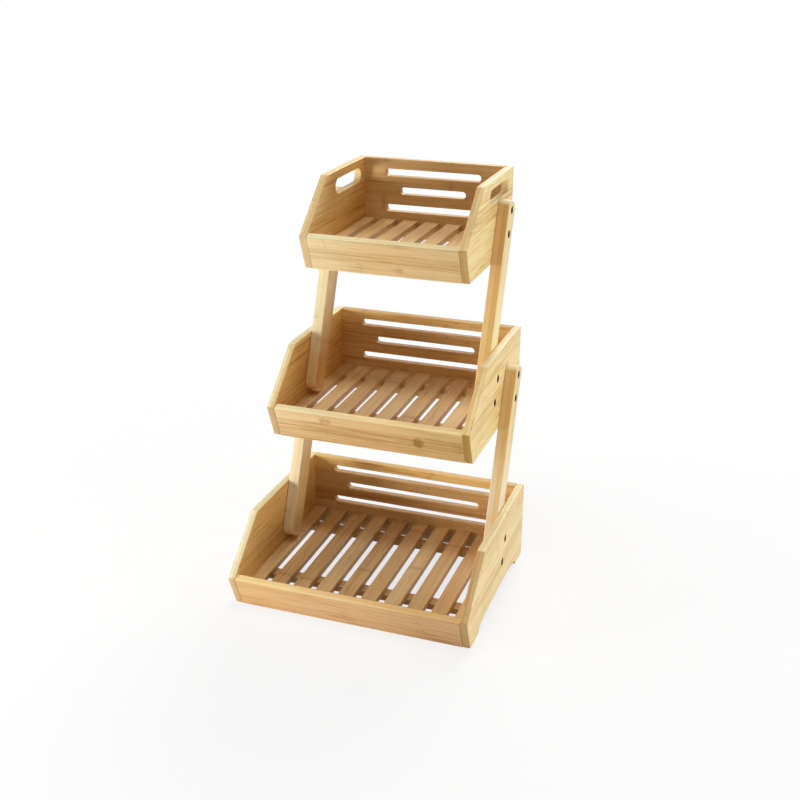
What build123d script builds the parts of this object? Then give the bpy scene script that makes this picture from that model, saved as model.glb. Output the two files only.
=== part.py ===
from build123d import *
import os
from collections import namedtuple
from math import copysign, cos, radians, sin, tan

# Tiered fruit stand: three open crates on four leaning legs, in millimetres.
# X runs left to right, Y front to back, Z up. The origin is under the middle of the stand.

# Baskets, listed from the top down
tier_names = ("top", "middle", "bottom")
basket_depths = (204, 231, 260)
steps_back = (55.5, 78.5, 0)
tier_rise = 203
top_inner_width = 190
basket_height = 104

# Sides
side_thick = 10
chamfer_run = 71
nose_radius = 3
shoulder_radius = 6
corner_radius = 2
edge_ease = 1.5

# Arch between the feet of the bottom sides
foot_length = 34
arch_spring = 7.5
arch_height = 12.5
arch_ramp = 5
arch_radius = 3

# Hand slots in the top sides
hand_slot_length = 86
hand_slot_height = 18
hand_slot_shift_back = 1.5
hand_slot_from_top = 20

# Front boards
front_thick = 10
front_height = 43
front_lean = 22

# Back boards and their long, short and long slots
back_thick = 10
back_slot_height = 9.4
back_slot_pitch = 23.5
back_slot_middles = (62.6, 64.3, 64.3)
back_slot_margins = (30, 50, 30)
back_slot_ease = 1

# Floor slats and the rails under them
floor_top = 24
slat_thick = 8
slat_width = 20
least_slat_gap = 8
end_slat_widths = (15, 16, 18)
slat_end_gap = 0.5
slat_ease = 1
rail_width = 15
rail_thick = 8
front_rail_from_front = 70.5
back_rail_gaps = (0, 28, 28)

# Legs, placed by their centre line at the foot of the basket that they carry
leg_thick = 15
leg_depth = 30
leg_lean = 22
legs_from_back = (85, 89)
leg_reach = 72
leg_floor_gap = 1
leg_end_radius = 9.5

# Sunk screws, two at each end of a leg
screw_top_distance = 11.5
screw_foot_distance = 13
screw_pitch = 30
screw_head_diameter = 10
screw_head_thick = 2.6
screw_sink = 0.6
screw_shank_diameter = 4
screw_cover = 3.5
screw_tip_length = 3
screw_tip_diameter = 1
screw_socket_width = 4
screw_socket_depth = 1.8
screw_play = 0.3

# Dowels from the sides into the boards and the end slats
board_dowel_diameter = 5
dowel_in_board = 15
slat_dowel_diameter = 4
dowel_in_slat = 10
dowel_cover = 3
dowel_play = 0.2
front_dowel_margin = 12
back_dowel_margin = 21
slat_dowel_offset = 3

# Pins that hold the slats to the rails from below
pin_diameter = 1.4
pin_head_diameter = 3
pin_head_thick = 0.8
pin_cover = 3
pin_play = 0.2
pin_offset = 3.5

lean_sine = sin(radians(front_lean))
lean_cosine = cos(radians(front_lean))
front_foot = front_height * tan(radians(front_lean))
front_length = front_height / lean_cosine
slat_bottom = floor_top - slat_thick
rail_bottom = slat_bottom - rail_thick
dowel_in_side = side_thick - dowel_cover
screw_shank_length = leg_thick + side_thick - screw_sink - screw_head_thick - screw_cover
pin_length = rail_thick + slat_thick - pin_cover

Tier = namedtuple("Tier", "name half depth front base rank")
Dowel = namedtuple("Dowel", "y z diameter depth")


def make_tiers():
    # each basket is wider than the one above by a leg and a side on both sides
    step = side_thick + leg_thick
    fronts = [sum(steps_back[rank:]) for rank in range(len(tier_names))]
    rear = max(front + depth for front, depth in zip(fronts, basket_depths))
    tiers = []
    for rank, name in enumerate(tier_names):
        half = top_inner_width / 2 + rank * step
        front = fronts[rank] - (min(fronts) + rear) / 2
        base = (len(tier_names) - 1 - rank) * tier_rise
        tiers.append(Tier(name, half, basket_depths[rank], front, base, rank))
    return tiers


def profile_plane(tier, x):
    # a sketch on this plane has its own x along the basket's depth and its own y up
    return Plane(origin=(x, tier.front, tier.base), x_dir=(0, 1, 0), z_dir=(1, 0, 0))


def rounded(outline, point, radius):
    return fillet(outline.vertices().sort_by_distance(point)[0], radius)


def across(x, y, z, diameter, length):
    # a round bar along X that starts at x and runs outward, or inward if length is negative
    return Pos(x + length / 2, y, z) * Rot(0, 90, 0) * Cylinder(diameter / 2, abs(length))


def side_outline(tier):
    foot = (front_foot, 0)
    nose = (0, front_height)
    shoulder = (chamfer_run, basket_height)
    crest = (tier.depth, basket_height)
    heel = (tier.depth, 0)
    outline = make_face(Polyline(foot, nose, shoulder, crest, heel, close=True))
    radii = ((foot, corner_radius), (nose, nose_radius), (shoulder, shoulder_radius),
             (crest, corner_radius), (heel, corner_radius))
    for point, radius in radii:
        outline = rounded(outline, point, radius)
    if tier.name == "bottom":
        outline = arched(outline, tier)
    if tier.name == "top":
        y = (chamfer_run + tier.depth) / 2 + hand_slot_shift_back
        place = Pos(y, basket_height - hand_slot_from_top)
        outline -= place * SlotOverall(hand_slot_length, hand_slot_height)
    return outline


def arched(outline, tier):
    near = front_foot + foot_length
    far = tier.depth - foot_length
    spring_near = (near + arch_ramp, arch_spring)
    spring_far = (far - arch_ramp, arch_spring)
    crown = ((near + far) / 2, arch_height)
    arch = make_face([
        Line((near, 0), spring_near),
        ThreePointArc(spring_near, crown, spring_far),
        Line(spring_far, (far, 0)),
        Line((far, 0), (near, 0)),
    ])
    outline -= arch
    for point in ((near, 0), spring_near, spring_far, (far, 0)):
        outline = rounded(outline, point, arch_radius)
    return outline


def side(tier, hand, screws):
    # hand is 1 for the right side and -1 for the left one
    start = min(hand * tier.half, hand * (tier.half + side_thick))
    panel = extrude(profile_plane(tier, start) * side_outline(tier), side_thick)
    faces = panel.faces().sort_by(Axis.X)
    panel = fillet(faces[0].edges() + faces[-1].edges(), edge_ease)
    depth = dowel_in_side + dowel_play
    for dowel in basket_dowels(tier):
        bore = dowel.diameter + dowel_play
        panel -= across(hand * tier.half, dowel.y, dowel.z, bore, hand * depth)
    for x, y, z in screws:
        panel -= screw_bore(hand * x, y, z)
    return panel


def board_frame(tier):
    # the leaning front board's middle, seen from the side
    reach = front_length / 2
    y = tier.front + front_foot - reach * lean_sine + front_thick / 2 * lean_cosine
    z = tier.base + reach * lean_cosine + front_thick / 2 * lean_sine
    return Pos(0, y, z) * Rot(front_lean, 0, 0)


def front_board(tier):
    board = board_frame(tier) * Box(2 * tier.half, front_thick, front_length)
    long_edges = board.edges().filter_by(Axis.X).sort_by(Axis.Z)
    board = fillet(long_edges[-2:], edge_ease)
    return bored(board, tier, front_dowels(tier), (1, -1))


def back_board(tier):
    y = tier.front + tier.depth - back_thick / 2
    board = Pos(0, y, tier.base + basket_height / 2) * Box(2 * tier.half, back_thick, basket_height)
    top_edges = board.edges().filter_by(Axis.X).sort_by(Axis.Z)[-2:]
    board = fillet(top_edges, edge_ease)
    for row, margin in enumerate(back_slot_margins):
        z = tier.base + back_slot_middles[tier.rank] + (1 - row) * back_slot_pitch
        length = 2 * (tier.half - margin)
        slot = Plane(origin=(0, y, z), x_dir=(1, 0, 0), z_dir=(0, -1, 0))
        board -= extrude(slot * SlotOverall(length, back_slot_height), back_thick, both=True)
    faces = board.faces().filter_by(Axis.Y)
    slot_edges = [edge for face in faces for wire in face.inner_wires() for edge in wire.edges()]
    board = fillet(slot_edges, back_slot_ease)
    return bored(board, tier, back_dowels(tier), (1, -1))


def rail_places(tier):
    inner_back = tier.depth - back_thick
    front = tier.front + front_rail_from_front + rail_width / 2
    back = tier.front + inner_back - back_rail_gaps[tier.rank] - rail_width / 2
    return (("front", front), ("back", back))


def rail(tier, y):
    z = tier.base + rail_bottom + rail_thick / 2
    bar = Pos(0, y, z) * Box(2 * tier.half, rail_width, rail_thick)
    for x, width in slat_rows(tier):
        bar -= pin(tier, x, y, pin_play)
    return bar


def slat_rows(tier):
    # middle and width of each slat, with the end slats against the sides
    end_width = end_slat_widths[tier.rank]
    between = 2 * (tier.half - end_width)
    count = int((between - least_slat_gap) // (slat_width + least_slat_gap))
    widths = [end_width] + [slat_width] * count + [end_width]
    gap = (between - slat_width * count) / (count + 1)
    rows = []
    left = -tier.half
    for width in widths:
        rows.append((left + width / 2, width))
        left += width + gap
    return rows


def slat(tier, x, width):
    # the front end stops at the leaning board's back face
    board_top = front_height + front_thick * lean_sine
    board_back = front_thick * lean_cosine + (board_top - slat_bottom) * tan(radians(front_lean))
    near = tier.front + board_back + slat_end_gap
    far = tier.front + tier.depth - back_thick - slat_end_gap
    z = tier.base + slat_bottom + slat_thick / 2
    strip = Pos(x, (near + far) / 2, z) * Box(width, far - near, slat_thick)
    strip = fillet(strip.edges().filter_by(Axis.Y), slat_ease)
    for end, y in rail_places(tier):
        strip -= pin(tier, x, y, pin_play)
    return strip


def pin(tier, x, y, play):
    # a pin in front of the rail's middle, its head flush with the underside, or its bore if play is given
    foot = tier.base + rail_bottom
    standing = (Align.CENTER, Align.CENTER, Align.MIN)
    shaft = Cylinder((pin_diameter + play) / 2, pin_length + play, align=standing)
    head = Cylinder((pin_head_diameter + play) / 2, pin_head_thick, align=standing)
    return Pos(x, y - pin_offset, foot) * (shaft + head)


def slat_pins(tier):
    return [pin(tier, x, y, 0) for end, y in rail_places(tier) for x, width in slat_rows(tier)]


def front_dowels(tier):
    frame = board_frame(tier)
    reach = front_length / 2 - front_dowel_margin
    spots = [(frame * Pos(0, 0, height)).position for height in (-reach, reach)]
    return [Dowel(spot.Y, spot.Z, board_dowel_diameter, dowel_in_board) for spot in spots]


def back_dowels(tier):
    y = tier.front + tier.depth - back_thick / 2
    heights = (back_dowel_margin, basket_height - back_dowel_margin)
    return [Dowel(y, tier.base + height, board_dowel_diameter, dowel_in_board) for height in heights]


def slat_dowels(tier):
    z = tier.base + slat_bottom + slat_thick / 2
    places = [y + slat_dowel_offset for end, y in rail_places(tier)]
    return [Dowel(y, z, slat_dowel_diameter, dowel_in_slat) for y in places]


def basket_dowels(tier):
    return front_dowels(tier) + back_dowels(tier) + slat_dowels(tier)


def bored(piece, tier, dowels, hands):
    # dowel holes in the ends that meet the right side, the left one or both
    for hand in hands:
        for dowel in dowels:
            bore = dowel.diameter + dowel_play
            depth = dowel.depth + dowel_play
            piece -= across(hand * tier.half, dowel.y, dowel.z, bore, -hand * depth)
    return piece


def dowel_set(tier):
    bars = []
    for hand in (1, -1):
        for dowel in basket_dowels(tier):
            start = hand * (tier.half + dowel_in_side)
            length = hand * (dowel_in_side + dowel.depth)
            bars.append(across(start, dowel.y, dowel.z, dowel.diameter, -length))
    return bars


def leg_ends(upper, lower):
    # both ends of a leg's centre line, as y and z
    slope = tan(radians(leg_lean))
    high = upper.base + leg_reach
    low = lower.base + floor_top + leg_floor_gap + leg_depth / 2 * sin(radians(leg_lean))
    line = upper.front + upper.depth - legs_from_back[upper.rank]
    return [(line + slope * (z - upper.base), z) for z in (low, high)]


def leg_screws(upper, lower):
    # where each screw's head side lies: x of that face, y and z
    (low_y, low_z), (high_y, high_z) = leg_ends(upper, lower)
    run = sin(radians(leg_lean))
    rise = cos(radians(leg_lean))
    leg_face = upper.half + side_thick + leg_thick
    side_face = lower.half + side_thick
    into_upper = []
    into_leg = []
    for step in (0, screw_pitch):
        from_top = screw_top_distance + step
        from_foot = screw_foot_distance + step
        into_upper.append((leg_face, high_y - from_top * run, high_z - from_top * rise))
        into_leg.append((side_face, low_y + from_foot * run, low_z + from_foot * rise))
    return into_upper, into_leg


def screw_bore(x, y, z):
    # a stepped hole that runs from its mouth toward the middle of the stand
    sink = screw_sink + screw_head_thick
    length = sink + screw_shank_length + screw_play
    mouth = across(x, y, z, screw_head_diameter + screw_play, -copysign(sink, x))
    return mouth + across(x, y, z, screw_shank_diameter + screw_play, -copysign(length, x))


def screw(x, y, z):
    # a flat head with a hex socket, a shank and a pointed tip, driven toward the middle
    seat = x - screw_sink
    head = across(seat, y, z, screw_head_diameter, -screw_head_thick)
    hexagon = RegularPolygon(screw_socket_width / 2, 6, major_radius=False)
    socket = Plane(origin=(seat, y, z), x_dir=(0, 1, 0), z_dir=(-1, 0, 0)) * hexagon
    head -= extrude(socket, screw_socket_depth)
    under = seat - screw_head_thick
    straight = screw_shank_length - screw_tip_length
    shank = across(under, y, z, screw_shank_diameter, -straight)
    tip = Cone(screw_shank_diameter / 2, screw_tip_diameter / 2, screw_tip_length)
    tip = Pos(under - straight - screw_tip_length / 2, y, z) * Rot(0, -90, 0) * tip
    return head + shank + tip


def leg(upper, lower, hand, screws):
    (low_y, low_z), (high_y, high_z) = leg_ends(upper, lower)
    length = (high_z - low_z) / cos(radians(leg_lean))
    x = hand * (upper.half + side_thick + leg_thick / 2)
    place = Pos(x, (low_y + high_y) / 2, (low_z + high_z) / 2) * Rot(-leg_lean, 0, 0)
    bar = Box(leg_thick, leg_depth, length)
    bar = fillet(bar.edges().filter_by(Axis.X), leg_end_radius)
    faces = bar.faces().sort_by(Axis.X)
    bar = fillet(faces[0].edges() + faces[-1].edges(), edge_ease)
    bar = place * bar
    for x, y, z in screws:
        bar -= screw_bore(hand * x, y, z)
    return bar


def basket_nodes(tier, screws):
    nodes = {
        "right_side": side(tier, 1, screws),
        "left_side": side(tier, -1, screws),
        "front_board": front_board(tier),
        "back_board": back_board(tier),
    }
    for end, y in rail_places(tier):
        nodes[f"{end}_rail"] = rail(tier, y)
    slats = [slat(tier, x, width) for x, width in slat_rows(tier)]
    slats[0] = bored(slats[0], tier, slat_dowels(tier), (-1,))
    slats[-1] = bored(slats[-1], tier, slat_dowels(tier), (1,))
    for number, strip in enumerate(slats, start=1):
        nodes[f"slat_{number}"] = strip
    nodes["dowels"] = Compound(children=dowel_set(tier))
    nodes["slat_pins"] = Compound(children=slat_pins(tier))
    return {f"{tier.name}_{name}": shape for name, shape in nodes.items()}


def leg_nodes(name, upper, lower, spots):
    screws = [screw(*spot) for spot in spots]
    mirrored = [mirror(piece, about=Plane.YZ) for piece in screws]
    return {
        f"{name}_right_leg": leg(upper, lower, 1, spots),
        f"{name}_left_leg": leg(upper, lower, -1, spots),
        f"{name}_right_leg_screws": Compound(children=screws),
        f"{name}_left_leg_screws": Compound(children=mirrored),
    }


def main():
    tiers = make_tiers()
    side_screws = {tier.name: [] for tier in tiers}
    nodes = {}
    for name, upper, lower in zip(("upper", "lower"), tiers[:-1], tiers[1:]):
        into_upper, into_leg = leg_screws(upper, lower)
        side_screws[upper.name] += into_upper
        side_screws[lower.name] += into_leg
        nodes.update(leg_nodes(name, upper, lower, into_upper + into_leg))
    for tier in tiers:
        nodes.update(basket_nodes(tier, side_screws[tier.name]))
    os.makedirs("parts", exist_ok=True)
    for name, shape in nodes.items():
        export_step(shape, f"parts/{name}.step")
    print(len(nodes), "nodes written")


main()
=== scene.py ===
import bpy
import math
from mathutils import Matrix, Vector


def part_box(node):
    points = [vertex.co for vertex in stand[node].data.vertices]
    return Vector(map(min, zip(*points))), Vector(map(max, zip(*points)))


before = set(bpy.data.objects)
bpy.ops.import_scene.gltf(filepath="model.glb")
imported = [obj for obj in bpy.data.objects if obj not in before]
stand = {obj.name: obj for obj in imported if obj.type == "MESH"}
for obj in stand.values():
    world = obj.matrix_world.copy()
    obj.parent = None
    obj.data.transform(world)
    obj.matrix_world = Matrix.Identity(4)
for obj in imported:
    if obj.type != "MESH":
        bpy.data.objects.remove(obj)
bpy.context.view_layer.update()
scene = bpy.context.scene
scene.view_settings.view_transform = "Standard"
print("frame loaded:", len(stand), "nodes")


# small helpers for node trees

def feed(tree, socket, value):
    if isinstance(value, bpy.types.NodeSocket):
        tree.links.new(value, socket)
    else:
        socket.default_value = value


def put(tree, kind, props=None, **values):
    made = tree.nodes.new(kind)
    for name, value in (props or {}).items():
        setattr(made, name, value)
    for name, value in values.items():
        feed(tree, made.inputs[name.replace("_", " ")], value)
    return made


def calc(tree, operation, *values):
    made = put(tree, "ShaderNodeMath", {"operation": operation})
    for socket, value in zip(made.inputs, values):
        feed(tree, socket, value)
    return made.outputs[0]


def vectorCalc(tree, operation, *values):
    made = put(tree, "ShaderNodeVectorMath", {"operation": operation})
    for socket, value in zip(made.inputs, values):
        feed(tree, socket, value)
    return made.outputs["Value" if operation in ("DOT_PRODUCT", "LENGTH") else "Vector"]


def dot(tree, first, second):
    return vectorCalc(tree, "DOT_PRODUCT", first, second)


def ease(tree, value, low, high, start=0.0, end=1.0):  # a smooth step from low to high
    made = put(tree, "ShaderNodeMapRange", {"interpolation_type": "SMOOTHSTEP"})
    for socket, number in zip(made.inputs, (value, low, high, start, end)):
        feed(tree, socket, number)
    return made.outputs[0]


def mixColor(tree, amount, first, second, blend="MIX"):
    made = put(tree, "ShaderNodeMix", {"data_type": "RGBA", "blend_type": blend})
    feed(tree, made.inputs[0], amount)
    feed(tree, made.inputs[6], first)
    feed(tree, made.inputs[7], second)
    return made.outputs[2]


def tinted(tree, color, tint):
    return mixColor(tree, 1.0, color, tint, "MULTIPLY")


def noise(tree, vector, detail=3.0, rough=0.55):
    made = put(tree, "ShaderNodeTexNoise", Vector=vector, Scale=1.0, Detail=detail, Roughness=rough)
    return made.outputs[0]


def joined(tree, x, y, z):
    return put(tree, "ShaderNodeCombineXYZ", X=x, Y=y, Z=z).outputs[0]


def objectPoint(tree):
    return put(tree, "ShaderNodeTexCoord").outputs["Object"]


def surfaceNormal(tree):
    return put(tree, "ShaderNodeNewGeometry").outputs["Normal"]


def jointGap(tree, place, width):  # how far the nearest joint is, with the place counted in widths
    part = calc(tree, "FRACT", place)
    return calc(tree, "MULTIPLY", calc(tree, "MINIMUM", part, calc(tree, "SUBTRACT", 1.0, part)), width)


def newGroup(name, inputs, outputs):
    tree = bpy.data.node_groups.new(name, "ShaderNodeTree")
    for label, kind, value in inputs:
        socket = tree.interface.new_socket(label, in_out="INPUT", socket_type=kind)
        socket.default_value = value
    for label, kind in outputs:
        tree.interface.new_socket(label, in_out="OUTPUT", socket_type=kind)
    return tree, tree.nodes.new("NodeGroupInput").outputs, tree.nodes.new("NodeGroupOutput").inputs


def alongGrain(tree, given):  # the surface point as run along the grain, height across it, depth through it
    point = vectorCalc(tree, "SUBTRACT", objectPoint(tree), given["Origin"])
    through = vectorCalc(tree, "CROSS_PRODUCT", given["Along"], given["Across"])
    return dot(tree, point, given["Along"]), dot(tree, point, given["Across"]), dot(tree, point, through)


numberSocket, colorSocket, vectorSocket = "NodeSocketFloat", "NodeSocketColor", "NodeSocketVector"
grainInputs = [("Origin", vectorSocket, (0, 0, 0)), ("Along", vectorSocket, (1, 0, 0)),
               ("Across", vectorSocket, (0, 0, 1))]


# bamboo strips glued side by side and in plies: fibre streaks, strip tones, glue lines, growth rings, end grain

bambooFibre = {
    "streakRun": 5.0, "streakWidth": 330.0,  # streaks per metre along and across the grain
    "streakMiddle": 0.47, "streakGain": 1.4,
    "hairRun": 15.0, "hairWidth": 760.0, "hairRange": (0.52, 0.70), "hairGain": 0.50,
    "cloudRun": 5.0, "cloudWidth": 34.0, "cloudGain": 0.45,
    "slide": 9.0,  # how far the streaks shift from strip to strip
    "skin": 0.00005,  # keeps the outer faces clear of a ply joint
    "slantRange": (0.40, 0.62), "slantQuiet": 0.75,  # slanted cuts, where the fibres hardly show
    "edgeRange": (0.6, 0.95), "edgeShade": 0.2, "edgeToneEnd": 0.7,
    "glueLine": 0.00035, "plyLine": 0.3, "stripLine": 0.45,
    "poreScale": 1500.0, "poreRange": (0.12, 0.4), "poreShade": 0.35,
    "ringHalf": 0.0035, "ringHalo": 0.010, "ringCore": 0.7, "ringSoft": 0.3, "ringShade": 0.6,
    "ringless": 0.45,  # share of the strips with no ring
    "wobbleRun": 60.0, "wobbleWidth": 420.0, "wobble": 0.010,
    "rough": 0.40, "roughTone": -0.05, "roughCloud": 0.16, "roughEnd": 0.14,
    "bumpHair": 0.5, "bumpStreak": 0.5, "bumpSeam": 0.6, "bumpRing": 0.5,
}


def makeBambooGroup(fibre):
    tree, given, result = newGroup("bamboo", grainInputs + [
        ("Strip Width", numberSocket, 0.02), ("Strip Shift", numberSocket, 0.0),
        ("Ply", numberSocket, 0.005), ("Seed", numberSocket, 0.0),
        ("Streaks", numberSocket, 0.6), ("Strip Contrast", numberSocket, 0.3),
        ("Ring Spacing", numberSocket, 0.26), ("Rings", numberSocket, 0.5),
        ("Pale", colorSocket, (0.8, 0.6, 0.3, 1)), ("Base", colorSocket, (0.7, 0.45, 0.2, 1)),
        ("Dark", colorSocket, (0.5, 0.28, 0.1, 1)), ("Edge Tint", colorSocket, (0.6, 0.35, 0.1, 1)),
        ("Second Edge Tint", colorSocket, (0.6, 0.35, 0.1, 1)),
        ("Second Ply Tint", colorSocket, (1, 1, 1, 1)), ("Edge Amount", numberSocket, 0.0),
        ("End Tint", colorSocket, (0.4, 0.25, 0.1, 1)), ("Far End Tint", colorSocket, (0.4, 0.25, 0.1, 1)),
        ("Slant Tint", colorSocket, (1, 1, 1, 1)),
        ("Far From", numberSocket, 0.08), ("End Amount", numberSocket, 0.6),
        ("End Reach", numberSocket, 0.72), ("End Full", numberSocket, 0.95)],
        [("Color", colorSocket), ("Roughness", numberSocket), ("Height", numberSocket)])
    run, height, depth = alongGrain(tree, given)
    stripPlace = calc(tree, "DIVIDE", calc(tree, "ADD", height, given["Strip Shift"]), given["Strip Width"])
    plyPlace = calc(tree, "DIVIDE", calc(tree, "ADD", depth, fibre["skin"]),
                    calc(tree, "ADD", given["Ply"], 2 * fibre["skin"]))
    strip = calc(tree, "FLOOR", stripPlace)
    ply = calc(tree, "FLOOR", plyPlace)
    pick = put(tree, "ShaderNodeTexWhiteNoise", {"noise_dimensions": "3D"},
               Vector=joined(tree, strip, ply, given["Seed"]))
    chance = put(tree, "ShaderNodeSeparateColor", Color=pick.outputs["Color"]).outputs
    slide = calc(tree, "MULTIPLY_ADD", pick.outputs["Value"], fibre["slide"], given["Seed"])

    def streaks(runScale, widthScale, shift, detail):
        return noise(tree, joined(tree, calc(tree, "MULTIPLY_ADD", run, runScale, shift),
                                  calc(tree, "MULTIPLY", height, widthScale),
                                  calc(tree, "MULTIPLY", depth, widthScale)), detail)

    broad = streaks(fibre["streakRun"], fibre["streakWidth"], slide, 4.0)
    hair = streaks(fibre["hairRun"], fibre["hairWidth"], slide, 2.0)
    cloud = streaks(fibre["cloudRun"], fibre["cloudWidth"], given["Seed"], 2.0)
    lines = ease(tree, hair, *fibre["hairRange"])  # thin dark fibres
    broadTone = calc(tree, "MULTIPLY", calc(tree, "SUBTRACT", broad, fibre["streakMiddle"]), fibre["streakGain"])
    fibreTone = calc(tree, "SUBTRACT", broadTone, calc(tree, "MULTIPLY", lines, fibre["hairGain"]))
    normal = surfaceNormal(tree)
    cutTurn = calc(tree, "ABSOLUTE", dot(tree, normal, given["Along"]))
    slant = ease(tree, cutTurn, *fibre["slantRange"])
    fibreTone = calc(tree, "MULTIPLY", fibreTone, calc(tree, "MULTIPLY_ADD", slant, -fibre["slantQuiet"], 1.0))
    tone = calc(tree, "MULTIPLY_ADD", fibreTone, given["Streaks"], 0.5)
    stripTone = calc(tree, "MULTIPLY", calc(tree, "SUBTRACT", pick.outputs["Value"], 0.5), given["Strip Contrast"])
    tone = calc(tree, "ADD", tone, stripTone)
    cloudTone = calc(tree, "MULTIPLY", calc(tree, "SUBTRACT", cloud, 0.5), fibre["cloudGain"])
    tone = calc(tree, "ADD", tone, cloudTone)
    color = mixColor(tree, ease(tree, tone, 0.0, 0.5), given["Dark"], given["Base"])
    color = mixColor(tree, ease(tree, tone, 0.5, 1.0), color, given["Pale"])

    # narrow faces show the plies, cut ends show pores
    secondPly = calc(tree, "FLOORED_MODULO", ply, 2.0)
    color = mixColor(tree, secondPly, color, tinted(tree, color, given["Second Ply Tint"]))
    edgeFace = ease(tree, calc(tree, "ABSOLUTE", dot(tree, normal, given["Across"])), *fibre["edgeRange"])
    plyTint = mixColor(tree, secondPly, given["Edge Tint"], given["Second Edge Tint"])
    plyShade = mixColor(tree, fibre["edgeShade"], plyTint, given["Dark"])
    plyTint = mixColor(tree, ease(tree, tone, 0.0, fibre["edgeToneEnd"]), plyShade, plyTint)
    color = mixColor(tree, calc(tree, "MULTIPLY", edgeFace, given["Edge Amount"]), color, plyTint)
    color = mixColor(tree, slant, color, tinted(tree, color, given["Slant Tint"]))
    plySeam = ease(tree, jointGap(tree, plyPlace, given["Ply"]), fibre["glueLine"], 0.0)
    plyLine = calc(tree, "MULTIPLY", plySeam, calc(tree, "MAXIMUM", edgeFace, slant))
    color = mixColor(tree, calc(tree, "MULTIPLY", plyLine, fibre["plyLine"]), color, given["Dark"])
    endFace = ease(tree, cutTurn, given["End Reach"], given["End Full"])
    pores = put(tree, "ShaderNodeTexVoronoi", Scale=fibre["poreScale"],
                Vector=joined(tree, 0.0, height, depth)).outputs["Distance"]
    poreMask = ease(tree, pores, *fibre["poreRange"])
    far = calc(tree, "GREATER_THAN", calc(tree, "ABSOLUTE", run), given["Far From"])
    endTint = mixColor(tree, far, given["End Tint"], given["Far End Tint"])
    endTint = mixColor(tree, poreMask, mixColor(tree, fibre["poreShade"], endTint, given["Dark"]), endTint)
    color = mixColor(tree, calc(tree, "MULTIPLY", endFace, given["End Amount"]), color, endTint)

    # growth rings, one every so often along each strip
    ringStep = calc(tree, "DIVIDE", run, given["Ring Spacing"])
    ringPlace = calc(tree, "FRACT", calc(tree, "ADD", ringStep, chance["Red"]))
    waver = noise(tree, joined(tree, calc(tree, "MULTIPLY", run, fibre["wobbleRun"]),
                               calc(tree, "MULTIPLY", height, fibre["wobbleWidth"]), given["Seed"]))
    wobble = calc(tree, "MULTIPLY", calc(tree, "SUBTRACT", waver, 0.5), fibre["wobble"])
    ringGap = calc(tree, "MULTIPLY", calc(tree, "SUBTRACT", ringPlace, 0.5), given["Ring Spacing"])
    ringGap = calc(tree, "ABSOLUTE", calc(tree, "ADD", ringGap, wobble))
    present = calc(tree, "GREATER_THAN", chance["Blue"], fibre["ringless"])
    core = ease(tree, ringGap, fibre["ringHalf"], 0.0)
    halo = ease(tree, ringGap, fibre["ringHalo"], 0.0)
    ring = calc(tree, "MULTIPLY_ADD", core, fibre["ringCore"], calc(tree, "MULTIPLY", halo, fibre["ringSoft"]))
    ring = calc(tree, "MULTIPLY", ring, present)
    flat = calc(tree, "SUBTRACT", 1.0, endFace)
    ring = calc(tree, "MULTIPLY", calc(tree, "MULTIPLY", ring, given["Rings"]), flat)
    color = mixColor(tree, ring, color, mixColor(tree, fibre["ringShade"], color, given["Dark"], "MULTIPLY"))

    # glue lines between the strips
    seamLine = ease(tree, jointGap(tree, stripPlace, given["Strip Width"]), fibre["glueLine"], 0.0)
    seamLine = calc(tree, "MULTIPLY", seamLine, flat)
    color = mixColor(tree, calc(tree, "MULTIPLY", seamLine, fibre["stripLine"]), color, given["Dark"])
    rough = calc(tree, "ADD", fibre["rough"], calc(tree, "MULTIPLY", tone, fibre["roughTone"]))
    rough = calc(tree, "ADD", rough, calc(tree, "MULTIPLY", cloud, fibre["roughCloud"]))
    rough = calc(tree, "ADD", rough, calc(tree, "MULTIPLY", endFace, fibre["roughEnd"]))
    bump = calc(tree, "ADD", calc(tree, "MULTIPLY", hair, fibre["bumpHair"]),
                calc(tree, "MULTIPLY", broad, fibre["bumpStreak"]))
    bump = calc(tree, "SUBTRACT", bump, calc(tree, "MULTIPLY", seamLine, fibre["bumpSeam"]))
    bump = calc(tree, "ADD", bump, calc(tree, "MULTIPLY", ring, fibre["bumpRing"]))
    feed(tree, result["Color"], color)
    feed(tree, result["Roughness"], rough)
    feed(tree, result["Height"], bump)
    return tree


# a single brown knuckle where a stem once joined: a soft blot with a ragged rim, broken into fine specks

knuckleGrain = {"ragRun": 260.0, "ragWidth": 330.0, "rag": 1.5, "rimRange": (1.15, 0.45),
                "dotRun": 560.0, "dotWidth": 720.0, "dotRange": (0.60, 0.22)}


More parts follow.
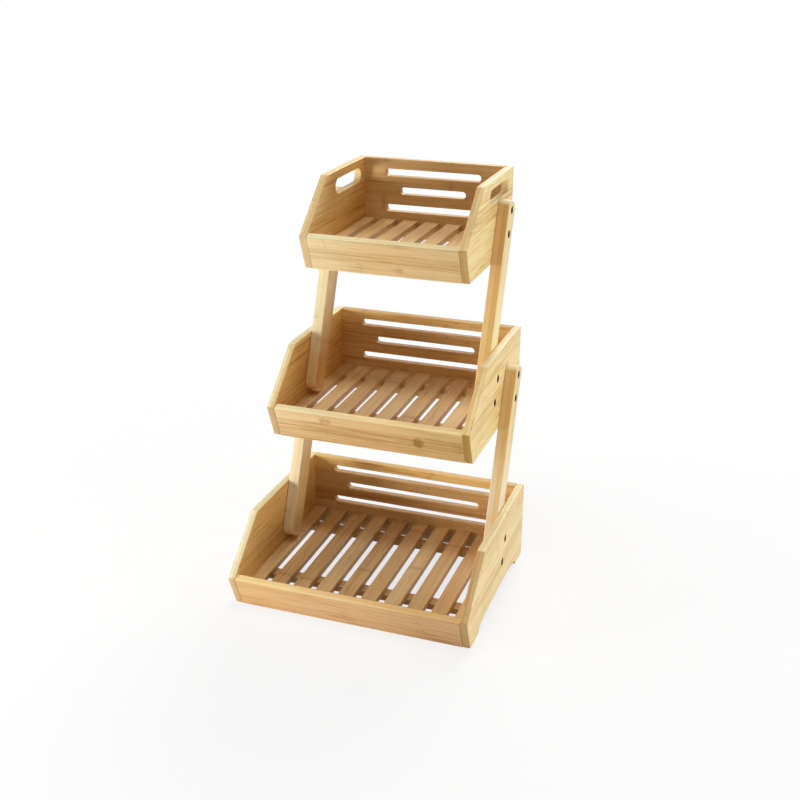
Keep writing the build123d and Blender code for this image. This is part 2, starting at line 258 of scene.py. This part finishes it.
def makeKnuckleGroup(blotch):
    tree, given, result = newGroup("knuckle", grainInputs + [
        ("Run", numberSocket, 0.0), ("Rise", numberSocket, 0.0), ("Length", numberSocket, 0.007),
        ("Width", numberSocket, 0.005), ("Specks", numberSocket, 0.5)], [("Mask", numberSocket)])
    run, height, depth = alongGrain(tree, given)
    aside = calc(tree, "DIVIDE", calc(tree, "SUBTRACT", run, given["Run"]), given["Length"])
    above = calc(tree, "DIVIDE", calc(tree, "SUBTRACT", height, given["Rise"]), given["Width"])
    ragged = noise(tree, joined(tree, calc(tree, "MULTIPLY", run, blotch["ragRun"]),
                                calc(tree, "MULTIPLY", height, blotch["ragWidth"]),
                                calc(tree, "MULTIPLY", depth, blotch["ragWidth"])), 2.0, 0.6)
    ragged = calc(tree, "MULTIPLY", calc(tree, "SUBTRACT", ragged, 0.5), blotch["rag"])
    reach = calc(tree, "SQRT", calc(tree, "ADD", calc(tree, "MULTIPLY", aside, aside),
                                    calc(tree, "MULTIPLY", above, above)))
    blot = ease(tree, calc(tree, "ADD", reach, ragged), *blotch["rimRange"])
    dots = put(tree, "ShaderNodeTexVoronoi", Scale=1.0, Vector=joined(
        tree, calc(tree, "MULTIPLY", run, blotch["dotRun"]),
        calc(tree, "MULTIPLY", height, blotch["dotWidth"]), 0.0)).outputs["Distance"]
    speck = ease(tree, dots, *blotch["dotRange"])
    solid = calc(tree, "SUBTRACT", 1.0, given["Specks"])
    speck = calc(tree, "MULTIPLY_ADD", speck, given["Specks"], solid)
    feed(tree, result["Mask"], calc(tree, "MULTIPLY", blot, speck))
    return tree


# painted light and shade: a slow change of tone across a board, from a point toward one side

def makePaintedShadingGroup():
    tree, given, result = newGroup("painted light and shade", [
        ("Color", colorSocket, (1, 1, 1, 1)), ("Tint", colorSocket, (1, 1, 1, 1)),
        ("Point", vectorSocket, (0, 0, 0)), ("Toward", vectorSocket, (1, 0, 0))], [("Color", colorSocket)])
    offset = vectorCalc(tree, "SUBTRACT", objectPoint(tree), given["Point"])
    share = ease(tree, dot(tree, offset, given["Toward"]), 0.0, 1.0)
    far = tinted(tree, given["Color"], given["Tint"])
    feed(tree, result["Color"], mixColor(tree, share, given["Color"], far))
    return tree


# eased edges paler: partly rubbed wear, partly a painted highlight where they catch the light

edgeWearAndHighlight = {"radius": 0.0022, "turnRange": (0.995, 0.90), "patchScale": 70.0, "patchRange": (0.30, 0.62),
              "patchLow": 0.6}


def makeEdgeWearAndHighlightGroup(edge):
    tree, given, result = newGroup("edge wear and highlight", [
        ("Color", colorSocket, (1, 1, 1, 1)), ("Wear And Highlight Color", colorSocket, (0.9, 0.75, 0.5, 1)),
        ("Amount", numberSocket, 0.5)], [("Color", colorSocket)])
    bevel = put(tree, "ShaderNodeBevel", {"samples": 8}, Radius=edge["radius"]).outputs[0]
    turn = ease(tree, dot(tree, bevel, surfaceNormal(tree)), *edge["turnRange"])
    patchy = put(tree, "ShaderNodeTexNoise", Vector=objectPoint(tree), Scale=edge["patchScale"], Detail=3.0)
    patch = ease(tree, patchy.outputs[0], *edge["patchRange"], edge["patchLow"], 1.0)
    mask = calc(tree, "MULTIPLY", calc(tree, "MULTIPLY", turn, patch), given["Amount"])
    feed(tree, result["Color"], mixColor(tree, mask, given["Color"], given["Wear And Highlight Color"]))
    return tree


bambooGroup = makeBambooGroup(bambooFibre)
knuckleGroup = makeKnuckleGroup(knuckleGrain)
paintedShadingGroup = makePaintedShadingGroup()
edgeWearAndHighlightGroup = makeEdgeWearAndHighlightGroup(edgeWearAndHighlight)
print("finish groups made")


# materials from the groups

lacquerLook = {"roughness": 0.32, "specular": 0.28, "relief": 0.0004}


def placeGroup(tree, group, **values):
    made = put(tree, "ShaderNodeGroup", {"node_tree": group})
    for name, value in values.items():
        feed(tree, made.inputs[name], value)
    return made


def newMaterial(name):
    material = bpy.data.materials.new(name)
    material.use_nodes = True
    tree = material.node_tree
    return material, tree, tree.nodes["Principled BSDF"]


def spaced(settings):  # stripWidth becomes Strip Width
    words = {}
    for name, value in settings.items():
        label = "".join(" " + letter if letter.isupper() else letter for letter in name)
        words[label[0].upper() + label[1:]] = value
    return words


def bambooMaterial(name, look, grain, seed, knuckles=(), drifts=()):
    material, tree, surface = newMaterial(name)
    settings = {**look["fibre"], **grain}
    settings.setdefault("secondEdgeTint", settings["edgeTint"])
    settings.setdefault("farEndTint", settings["endTint"])
    finish = spaced(settings)
    board = placeGroup(tree, bambooGroup, Seed=seed, **finish)
    color = board.outputs["Color"]
    # painted light and shade laid over the board's colour
    for paintedShading in drifts:
        color = placeGroup(tree, paintedShadingGroup, Color=color, **spaced(paintedShading)).outputs["Color"]
    directions = {key: finish[key] for key in ("Origin", "Along", "Across")}
    for knuckle in knuckles:
        spot = placeGroup(tree, knuckleGroup, **directions, **spaced(knuckle["shape"]))
        amount = calc(tree, "MULTIPLY", spot.outputs["Mask"], knuckle["strength"])
        color = mixColor(tree, amount, color, knuckle["color"])
    # eased edges paler, partly wear and partly painted highlight
    edges = placeGroup(tree, edgeWearAndHighlightGroup, **{"Color": color, "Wear And Highlight Color": look["rubbed"], "Amount": look["rub"]})
    bump = put(tree, "ShaderNodeBump", Strength=look["bump"], Distance=lacquerLook["relief"],
               Height=board.outputs["Height"])
    feed(tree, surface.inputs["Base Color"], edges.outputs["Color"])
    feed(tree, surface.inputs["Roughness"], board.outputs["Roughness"])
    feed(tree, surface.inputs["Normal"], bump.outputs[0])
    surface.inputs["Coat Weight"].default_value = look["lacquer"]
    surface.inputs["Coat Roughness"].default_value = lacquerLook["roughness"]
    surface.inputs["Specular IOR Level"].default_value = lacquerLook["specular"]
    return material


def dress(names, material):
    for name in names:
        slots = stand[name].material_slots
        if not slots:
            stand[name].data.materials.append(material)
        for slot in slots:
            slot.material = material


tierNames = ("top", "middle", "bottom")
leanAngle = math.radians(22)
leanSine, leanCosine = math.sin(leanAngle), math.cos(leanAngle)
upX, upY, upZ = (1, 0, 0), (0, 1, 0), (0, 0, 1)
paintedShadeDepth = {"reach": 0.0015, "fade": 0.0014}  # how deep the painted shade on a left outer face goes


# painted shade: the left outer faces darker, where the low left lamp falls strongest
def paintedOuterShade(low, tint):
    return {"tint": tint, "point": (low.x + paintedShadeDepth["reach"], 0, 0), "toward": (-1 / paintedShadeDepth["fade"], 0, 0)}


# front boards lean out at the top, their fibres run left to right

knuckleBrown, knuckleGold = (0.32, 0.14, 0.020, 1), (0.23, 0.105, 0.004, 1)
frontBoards = {
    "thickness": 0.010, "rimFade": 300.0,
    "look": {
        "fibre": {"stripWidth": 0.0165, "stripShift": 0.001, "ply": 0.005, "stripContrast": 0.5,
                  "ringSpacing": 0.9, "rings": 0.25, "dark": (0.47, 0.235, 0.075, 1), "edgeAmount": 0.85,
                  "endTint": (0.45, 0.29, 0.11, 1), "endAmount": 0.7},
        "rubbed": (0.86, 0.68, 0.38, 1), "rub": 0.35, "bump": 0.25, "lacquer": 0.05},
    "tiers": {  # painted light toward the board's left end and painted shade toward its right end, as the light falls off from the left; the rim is its upper edge toward the right, with painted light on the middle board and painted shade on the bottom one
        "top": {
            "seed": 3.0,
            "tones": {"pale": (0.83, 0.64, 0.365, 1), "base": (0.725, 0.495, 0.235, 1), "streaks": 0.61,
                      "edgeTint": (0.94, 0.77, 0.42, 1)},
            "leftTint": (1.04, 1.20, 1.35, 1), "rightPaintedShade": (0.92, 0.92, 0.92, 1),
            "knuckles": [
                {"shape": {"run": 0.0168, "rise": 0.0095, "length": 0.0085, "width": 0.0052, "specks": 0.75},
                 "color": knuckleBrown, "strength": 0.75}]},
        "middle": {
            "seed": 11.0,
            "tones": {"pale": (0.81, 0.585, 0.295, 1), "base": (0.72, 0.455, 0.198, 1), "streaks": 0.82,
                      "edgeTint": (0.98, 0.81, 0.43, 1)},
            "leftTint": (1.03, 1.10, 1.22, 1), "rightPaintedShade": (0.87, 0.88, 0.80, 1),
            "rim": {"tint": (1.16, 1.12, 1.10, 1), "slope": 8.0},
            "knuckles": [
                {"shape": {"run": -0.0549, "rise": 0.0368, "length": 0.0100, "width": 0.0062, "specks": 0.78},
                 "color": (0.30, 0.135, 0.006, 1), "strength": 0.8},
                {"shape": {"run": 0.0638, "rise": 0.0226, "length": 0.0082, "width": 0.0088, "specks": 0.35},
                 "color": knuckleGold, "strength": 0.95}]},
        "bottom": {
            "seed": 24.0,
            "tones": {"pale": (0.81, 0.55, 0.288, 1), "base": (0.745, 0.445, 0.197, 1), "streaks": 1.2,
                      "stripContrast": 0.3, "edgeTint": (0.90, 0.69, 0.335, 1)},
            "leftTint": (1.05, 1.04, 0.98, 1), "rightPaintedShade": (0.83, 0.79, 0.73, 1),
            "rim": {"tint": (0.94, 0.78, 0.66, 1), "slope": 6.0},
            "knuckles": [
                {"shape": {"run": 0.0925, "rise": 0.0300, "length": 0.0060, "width": 0.0050, "specks": 0.9},
                 "color": knuckleBrown, "strength": 0.45},
                {"shape": {"run": 0.0965, "rise": 0.0175, "length": 0.0090, "width": 0.0050, "specks": 0.9},
                 "color": knuckleBrown, "strength": 0.6}]},
    },
}

for tier, board in frontBoards["tiers"].items():
    low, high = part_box(tier + "_front_board")
    footY = high.y - frontBoards["thickness"] * leanCosine  # the outer face's lower edge
    grain = {"origin": (0, footY, low.z), "along": upX, "across": (0, -leanSine, leanCosine), **board["tones"]}
    # painted light toward the left end, painted shade toward the right end
    drifts = [{"tint": board["leftTint"], "point": (0, 0, 0), "toward": (1 / low.x, 0, 0)},
              {"tint": board["rightPaintedShade"], "point": (0, 0, 0), "toward": (1 / high.x, 0, 0)}]
    # painted light (middle) or painted shade (bottom) along the upper edge toward the right
    if "rim" in board:
        rimFoot = high.z - frontBoards["thickness"] * leanSine
        drifts.append({"tint": board["rim"]["tint"], "point": (0, 0, rimFoot),
                       "toward": (board["rim"]["slope"], 0, frontBoards["rimFade"])})
    dress([tier + "_front_board"], bambooMaterial(tier + "FrontBamboo", frontBoards["look"], grain, board["seed"],
                                                  board["knuckles"], drifts))
print("front boards dressed")


# back boards stand upright, their fibres run left to right

backBoards = {
    "look": {
        "fibre": {"stripWidth": 0.021, "stripShift": 0.006, "ply": 0.005, "streaks": 0.85, "stripContrast": 0.5,
                  "ringSpacing": 0.24, "rings": 0.5, "pale": (0.78, 0.54, 0.26, 1),
                  "base": (0.69, 0.415, 0.165, 1), "dark": (0.46, 0.22, 0.065, 1), "edgeAmount": 0.6,
                  "endTint": (0.45, 0.29, 0.11, 1), "endAmount": 0.7},
        "rubbed": (0.84, 0.65, 0.36, 1), "rub": 0.3, "bump": 0.25, "lacquer": 0.05},
    "upperStrip": 0.026, "upperFade": 0.018,  # the strip above the slots, with painted light making it paler on the lower two
    "tiers": {
        # the top board's darker pale and base tones are painted shade
        "top": {"seed": 41.0, "tones": {"edgeTint": (0.83, 0.64, 0.33, 1), "pale": (0.70, 0.475, 0.222, 1),
                                        "base": (0.61, 0.362, 0.138, 1)}},
        "middle": {"seed": 47.0, "tones": {"edgeTint": (0.36, 0.165, 0.04, 1)}, "upperPaintedLight": (1.32, 1.48, 1.48, 1)},
        "bottom": {"seed": 58.0, "tones": {"edgeTint": (0.58, 0.36, 0.17, 1)}, "upperPaintedLight": (1.28, 1.40, 1.28, 1)},
    },
}

for tier, board in backBoards["tiers"].items():
    low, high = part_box(tier + "_back_board")
    grain = {"origin": (0, low.y, low.z), "along": upX, "across": upZ, **board["tones"]}
    drifts = []
    # painted light on the strip above the slots
    if "upperPaintedLight" in board:
        drifts.append({"tint": board["upperPaintedLight"], "point": (0, 0, high.z - backBoards["upperStrip"]),
                       "toward": (0, 0, 1 / backBoards["upperFade"])})
    dress([tier + "_back_board"], bambooMaterial(tier + "BackBamboo", backBoards["look"], grain, board["seed"],
                                                 drifts=drifts))
print("back boards dressed")


# sides, their fibres run front to back, the front edges and the slanted ones above are cut across them

sideBoards = {
    "look": {
        "fibre": {"stripWidth": 0.0205, "stripShift": 0.004, "ply": 0.005, "stripContrast": 0.4,
                  "ringSpacing": 0.27, "rings": 0.45, "pale": (0.92, 0.76, 0.39, 1),
                  "base": (0.86, 0.645, 0.28, 1), "dark": (0.60, 0.36, 0.12, 1), "edgeAmount": 0.8,
                  # the second ply tint darkens the inner faces as painted shade; the far end tint is painted light
                  # that keeps the hand slots' end walls pale
                  "secondPlyTint": (0.86, 0.68, 0.47, 1), "farEndTint": (0.88, 0.69, 0.40, 1), "endAmount": 0.8},
        "rubbed": (0.88, 0.72, 0.42, 1), "rub": 0.35, "bump": 0.25, "lacquer": 0.05},
    # painted shade on the left outer faces
    "leftPaintedShade": (0.76, 0.77, 0.81, 1),
    "tiers": {  # edge tints are for the plies on the upper edges: darker on the top tier as painted shade, paler on the lower two as painted light where the basket above shades them
        "top": {"streaks": 1.35, "endReach": 0.45,
                "edgeTint": (0.89, 0.71, 0.39, 1), "secondEdgeTint": (0.81, 0.60, 0.28, 1)},
        "middle": {"streaks": 0.95, "endReach": 0.72,
                   "edgeTint": (0.97, 0.93, 0.62, 1), "secondEdgeTint": (0.94, 0.84, 0.50, 1)},
        "bottom": {"streaks": 1.0, "endReach": 0.72,
                   "edgeTint": (0.99, 0.92, 0.57, 1), "secondEdgeTint": (0.98, 0.85, 0.48, 1),
                   "pale": (0.87, 0.71, 0.38, 1), "base": (0.80, 0.60, 0.275, 1)},
    },
    "places": {  # end tints are for the short cuts under the front corners, slant tints for the long ones above; mostly paler on the left sides and darker on the right ones, as painted light and shade from the light on the left
        "top_left": {
            "seed": 61.0, "tones": {"endTint": (0.60, 0.42, 0.215, 1), "slantTint": (1, 1, 1.04, 1)},
            "innerPaintedLight": {"tint": (1.12, 1.30, 1.70, 1), "reach": 0.0012, "run": 0.071,
                          "toward": (400.0, -14.0, 0)}},  # painted light, paler to the front
        "top_right": {
            "seed": 66.0, "tones": {"endTint": (0.40, 0.25, 0.09, 1), "slantTint": (1.03, 0.99, 0.93, 1),
                                    "edgeTint": (1.0, 0.86, 0.50, 1), "secondEdgeTint": (1.0, 0.83, 0.46, 1)},
            "levelTop": {"tint": (0.86, 0.77, 0.80, 1), "reach": 0.0010,  # painted shade keeps the top edge deeper than the slot's walls, whose paler edge tints are painted light
                         "slope": 1400.0}},
        "middle_left": {
            "seed": 72.0, "tones": {"endTint": (0.51, 0.35, 0.19, 1), "slantTint": (0.97, 0.99, 1.05, 1)}},
        "middle_right": {
            "seed": 77.0, "tones": {"endTint": (0.31, 0.175, 0.025, 1), "slantTint": (1.0, 0.92, 0.82, 1)}},
        "bottom_left": {
            "seed": 83.0, "tones": {"endTint": (0.67, 0.42, 0.22, 1), "slantTint": (1.0, 1.15, 1.48, 1)}},
        "bottom_right": {
            "seed": 89.0, "tones": {"endTint": (0.50, 0.32, 0.145, 1), "slantTint": (0.71, 0.58, 0.46, 1)}},
    },
}

for place, board in sideBoards["places"].items():
    low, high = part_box(place + "_side")
    tier, hand = place.split("_")
    outerX, along = (low.x, upY) if hand == "left" else (high.x, (0, -1, 0))  # the outer face is the first ply
    grain = {"origin": (outerX, low.y, low.z), "along": along, "across": upZ,
             **sideBoards["tiers"][tier], **board["tones"]}
    drifts = []
    # painted shade on the left outer face
    if hand == "left":
        drifts.append(paintedOuterShade(low, sideBoards["leftPaintedShade"]))
    # painted shade on the top edge
    if "levelTop" in board:
        part = board["levelTop"]
        drifts.append({"tint": part["tint"], "point": (0, 0, high.z - part["reach"]), "toward": (0, 0, part["slope"])})
    # painted light on the inner face toward the front
    if "innerPaintedLight" in board:
        part = board["innerPaintedLight"]
        drifts.append({"tint": part["tint"], "point": (high.x - part["reach"], low.y + part["run"], 0),
                       "toward": part["toward"]})
    dress([place + "_side"], bambooMaterial(place.replace("_", "") + "SideBamboo", sideBoards["look"], grain,
                                            board["seed"], drifts=drifts))
print("sides dressed")


# floor slats, one strip wide each, a little different from slat to slat

floorSlats = {
    "look": {
        "fibre": {"ply": 0.02, "streaks": 0.65, "stripContrast": 0.55, "ringSpacing": 0.22, "rings": 0.6,
                  "pale": (0.78, 0.56, 0.285, 1), "base": (0.67, 0.42, 0.178, 1), "dark": (0.46, 0.235, 0.075, 1),
                  "edgeTint": (0.62, 0.38, 0.15, 1), "edgeAmount": 0.4,
                  "endTint": (0.45, 0.29, 0.13, 1), "endAmount": 0.7},
        "rubbed": (0.82, 0.64, 0.38, 1), "rub": 0.35, "bump": 0.25, "lacquer": 0.05},
    "seeds": {"top": 102.0, "middle": 107.0, "bottom": 113.0},
}

for tier, seed in floorSlats["seeds"].items():
    slats = sorted((name for name in stand if name.startswith(tier + "_slat_") and "pins" not in name),
                   key=lambda name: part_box(name)[0].x)
    second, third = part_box(slats[1]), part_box(slats[2])
    pitch = third[0].x - second[0].x
    gap = third[0].x - second[1].x
    grain = {"origin": (second[0].x - gap / 2, second[0].y, second[0].z), "along": upY, "across": upX,
             "stripWidth": pitch, "stripShift": 0.0}
    dress(slats, bambooMaterial(tier + "SlatBamboo", floorSlats["look"], grain, seed))
print("slats dressed")


# rails under the slats, plain and less finished

floorRails = {
    "look": {
        "fibre": {"stripWidth": 0.019, "stripShift": 0.002, "ply": 0.008, "streaks": 0.7, "stripContrast": 0.3,
                  "ringSpacing": 0.25, "rings": 0.5, "pale": (0.74, 0.54, 0.29, 1),
                  "base": (0.63, 0.41, 0.195, 1), "dark": (0.45, 0.24, 0.09, 1),
                  "edgeTint": (0.62, 0.40, 0.18, 1), "edgeAmount": 0.4,
                  "endTint": (0.42, 0.27, 0.12, 1), "endAmount": 0.7},
        "rubbed": (0.76, 0.58, 0.33, 1), "rub": 0.3, "bump": 0.35, "lacquer": 0.0},
    "seeds": {"top": 120.0, "middle": 127.0, "bottom": 134.0},
}

for tier, seed in floorRails["seeds"].items():
    for end in ("front", "back"):
        name = tier + "_" + end + "_rail"
        low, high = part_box(name)
        grain = {"origin": (low.x, low.y, low.z), "along": upX, "across": upY}
        dress([name], bambooMaterial(tier + end.capitalize() + "RailBamboo", floorRails["look"], grain, seed))
print("rails dressed")


# legs lean back going up, two plies thick, and on the right pair the narrow faces are a warmer cut

paleLeg = {"pale": (0.80, 0.60, 0.32, 1), "base": (0.71, 0.49, 0.225, 1), "dark": (0.52, 0.30, 0.10, 1),
           "edgeTint": (0.87, 0.745, 0.465, 1), "secondEdgeTint": (0.86, 0.72, 0.43, 1)}
warmLeg = {"pale": (0.89, 0.74, 0.44, 1), "base": (0.83, 0.635, 0.325, 1), "dark": (0.60, 0.37, 0.13, 1),
           "edgeTint": (0.78, 0.49, 0.215, 1), "secondEdgeTint": (0.70, 0.39, 0.115, 1)}
standLegs = {
    "look": {
        "fibre": {"stripWidth": 0.036, "stripShift": 0.018, "ply": 0.0075, "streaks": 0.7, "stripContrast": 0.3,
                  "ringSpacing": 0.31, "rings": 0.4, "edgeAmount": 0.9, "endTint": (0.92, 0.77, 0.47, 1),
                  "endAmount": 0.9, "endReach": 0.06, "endFull": 0.45},
        "rubbed": (0.88, 0.72, 0.42, 1), "rub": 0.3, "bump": 0.25, "lacquer": 0.05},
    # painted shade on the left outer faces
    "leftPaintedShade": (0.84, 0.85, 0.88, 1),
    "headLength": 0.07, "downFade": 0.10,  # painted light comes in below the head
    "footLength": 0.080, "footFade": 0.035,  # painted shade where the leg stands in the basket
    "places": {
        "upper_left": {"seed": 131.0, "tones": paleLeg, "footTint": (1.04, 0.86, 0.67, 1)},
        "upper_right": {"seed": 139.0, "tones": warmLeg, "downTint": (1.14, 1.22, 1.12, 1)},
        "lower_left": {"seed": 144.0, "tones": paleLeg},
        "lower_right": {"seed": 152.0, "tones": {**warmLeg, "edgeTint": (0.80, 0.54, 0.255, 1),
                                                 "secondEdgeTint": (0.78, 0.48, 0.16, 1)},
                        "downTint": (1.10, 1.25, 1.65, 1)},
    },
}

for place, leg in standLegs["places"].items():
    low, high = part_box(place + "_leg")
    middle = (low + high) / 2
    grain = {"origin": tuple(middle), "along": (0, leanSine, leanCosine), "across": (0, leanCosine, -leanSine),
             **leg["tones"]}
    drifts = []
    # painted light on the lower part of the leg
    if "downTint" in leg:
        drifts.append({"tint": leg["downTint"], "point": (0, 0, high.z - standLegs["headLength"]),
                       "toward": (0, 0, -1 / standLegs["downFade"])})
    # painted shade at the foot
    if "footTint" in leg:
        drifts.append({"tint": leg["footTint"], "point": (0, 0, low.z + standLegs["footLength"]),
                       "toward": (0, 0, -1 / standLegs["footFade"])})
    # painted shade on the left outer face
    if place.endswith("left"):
        drifts.append(paintedOuterShade(low, standLegs["leftPaintedShade"]))
    dress([place + "_leg"], bambooMaterial(place.replace("_", "") + "LegBamboo", standLegs["look"], grain,
                                           leg["seed"], drifts=drifts))
print("legs dressed")


# dowels turned from pale hardwood

woodDowels = {
    "seed": 160.0,
    "look": {
        "fibre": {"stripWidth": 0.03, "stripShift": 0.015, "ply": 0.03, "streaks": 0.5, "stripContrast": 0.0,
                  "ringSpacing": 0.5, "rings": 0.0, "pale": (0.78, 0.62, 0.42, 1),
                  "base": (0.68, 0.50, 0.31, 1), "dark": (0.52, 0.34, 0.18, 1),
                  "edgeTint": (0.68, 0.50, 0.31, 1), "edgeAmount": 0.0,
                  "endTint": (0.55, 0.38, 0.21, 1), "endAmount": 0.6},
        "rubbed": (0.8, 0.65, 0.45, 1), "rub": 0.2, "bump": 0.3, "lacquer": 0.0},
}
grain = {"origin": (0, 0, 0), "along": upX, "across": upZ}
dress([tier + "_dowels" for tier in tierNames],
      bambooMaterial("dowelWood", woodDowels["look"], grain, woodDowels["seed"]))
print("dowels dressed")


# screws in dark oxide with worn rims, pins in dull zinc

metalGrain = {"mottleRange": (0.35, 0.68), "roughFrom": 0.25, "roughTo": 0.75, "fineness": 9, "wear": 0.5,
              "bump": 0.15, "relief": 0.0002}
legScrews = {"first": (0.014, 0.010, 0.005, 1), "second": (0.055, 0.034, 0.013, 1),
             "worn": (0.075, 0.052, 0.028, 1), "glance": (0.34, 0.25, 0.13, 1),
             "metallic": 0.3, "specular": 0.0, "scale": 260.0, "rough": (0.45, 0.65)}
slatPins = {"first": (0.60, 0.60, 0.59, 1), "second": (0.36, 0.36, 0.35, 1),
            "worn": (0.72, 0.72, 0.72, 1), "glance": (1, 1, 1, 1),
            "metallic": 0.85, "specular": 0.5, "scale": 420.0, "rough": (0.28, 0.46)}


def metalMaterial(name, look):
    material, tree, surface = newMaterial(name)
    point = objectPoint(tree)
    mottle = put(tree, "ShaderNodeTexNoise", Vector=point, Scale=look["scale"], Detail=4.0, Roughness=0.6).outputs[0]
    fine = put(tree, "ShaderNodeTexNoise", Vector=point, Scale=look["scale"] * metalGrain["fineness"], Detail=2.0)
    color = mixColor(tree, ease(tree, mottle, *metalGrain["mottleRange"]), look["first"], look["second"])
    edges = placeGroup(tree, edgeWearAndHighlightGroup, **{"Color": color, "Wear And Highlight Color": look["worn"],
                                             "Amount": metalGrain["wear"]})
    bump = put(tree, "ShaderNodeBump", Strength=metalGrain["bump"], Distance=metalGrain["relief"],
               Height=fine.outputs[0])
    rough = ease(tree, mottle, metalGrain["roughFrom"], metalGrain["roughTo"], *look["rough"])
    feed(tree, surface.inputs["Base Color"], edges.outputs["Color"])
    feed(tree, surface.inputs["Roughness"], rough)
    feed(tree, surface.inputs["Normal"], bump.outputs[0])
    surface.inputs["Metallic"].default_value = look["metallic"]
    surface.inputs["Specular IOR Level"].default_value = look["specular"]
    surface.inputs["Specular Tint"].default_value = look["glance"]
    return material


dress([place + "_leg_screws" for place in standLegs["places"]], metalMaterial("screwOxide", legScrews))
dress([tier + "_slat_pins" for tier in tierNames], metalMaterial("pinZinc", slatPins))
print("fasteners dressed")


# pale floor that keeps the shadow, and a white surround

floorLook = {"size": 24.0, "color": (0.88, 0.87, 0.86, 1), "rough": 0.9,
             "white": 0.78, "fadeFrom": 0.30, "fadeTo": 0.95}  # the shadow fades out to white away from the stand
worldLook = {"light": 0.16}


def seenDirectly(tree):  # camera, mirror and glass rays
    path = put(tree, "ShaderNodeLightPath").outputs
    seen = calc(tree, "MAXIMUM", path["Is Camera Ray"], path["Is Glossy Ray"])
    return calc(tree, "MAXIMUM", seen, path["Is Transmission Ray"])


def makeFloor(look):
    half = look["size"] / 2
    mesh = bpy.data.meshes.new("paleFloor")
    mesh.from_pydata([(-half, -half, 0), (half, -half, 0), (half, half, 0), (-half, half, 0)], [], [(0, 1, 2, 3)])
    floor = bpy.data.objects.new("paleFloor", mesh)
    scene.collection.objects.link(floor)
    material, tree, surface = newMaterial("floorPaper")
    surface.inputs["Base Color"].default_value = look["color"]
    surface.inputs["Roughness"].default_value = look["rough"]
    surface.inputs["Specular IOR Level"].default_value = 0.0
    glow = put(tree, "ShaderNodeEmission", Color=(1, 1, 1, 1), Strength=1.0)
    blend = put(tree, "ShaderNodeMixShader")
    away = vectorCalc(tree, "LENGTH", objectPoint(tree))
    white = ease(tree, away, look["fadeFrom"], look["fadeTo"], look["white"], 1.0)
    feed(tree, blend.inputs[0], calc(tree, "MULTIPLY", seenDirectly(tree), white))
    feed(tree, blend.inputs[1], surface.outputs[0])
    feed(tree, blend.inputs[2], glow.outputs[0])
    feed(tree, tree.nodes["Material Output"].inputs["Surface"], blend.outputs[0])
    mesh.materials.append(material)


def makeWorld(look):
    world = bpy.data.worlds.new("whiteRoom")
    world.use_nodes = True
    scene.world = world
    tree = world.node_tree
    sky = tree.nodes["Background"]
    sky.inputs["Color"].default_value = (1, 1, 1, 1)
    strength = calc(tree, "MULTIPLY_ADD", seenDirectly(tree), 1.0 - look["light"], look["light"])
    feed(tree, sky.inputs["Strength"], strength)


# lamps: low ones left and right that rake across the boards, broad soft ones above and behind

lamps = {
    "leftLow": {"at": (-1.25, -0.87, 0.33), "size": 0.7, "watts": 20.5},
    "rightLow": {"at": (2.0, -0.2, 0.31), "size": 0.55, "watts": 17.5},
    "above": {"at": (-0.1, -0.2, 2.15), "size": 1.2, "watts": 14.0},
    "behind": {"at": (0.1, 1.3, 1.45), "size": 0.9, "watts": 20.0},
}
lampTarget = Vector((0, 0, 0.24))


def makeLamp(name, look):
    data = bpy.data.lights.new(name, "AREA")
    data.shape = "DISK"
    data.size = look["size"]
    data.energy = look["watts"]
    lamp = bpy.data.objects.new(name, data)
    lamp.location = look["at"]
    lamp.rotation_euler = (lampTarget - Vector(look["at"])).to_track_quat("-Z", "Y").to_euler()
    scene.collection.objects.link(lamp)


makeFloor(floorLook)
makeWorld(worldLook)
for lampName, lampLook in lamps.items():
    makeLamp(lampName, lampLook)
print("floor and lamps placed")


# camera right of the stand and above it

cameraLook = {"at": (0.47087, -1.28063, 0.80458), "yaw": 0.34424, "pitch": -0.39308, "lens": 52.675,
              "sensor": 36.0, "clipEnd": 100.0}


def makeCamera(look):
    data = bpy.data.cameras.new("standCamera")
    data.sensor_fit = "HORIZONTAL"
    data.sensor_width = look["sensor"]
    data.lens = look["lens"]
    data.clip_end = look["clipEnd"]
    camera = bpy.data.objects.new("standCamera", data)
    camera.location = look["at"]
    camera.rotation_euler = (math.pi / 2 + look["pitch"], 0, look["yaw"])
    scene.collection.objects.link(camera)
    scene.camera = camera


makeCamera(cameraLook)
print("camera placed")
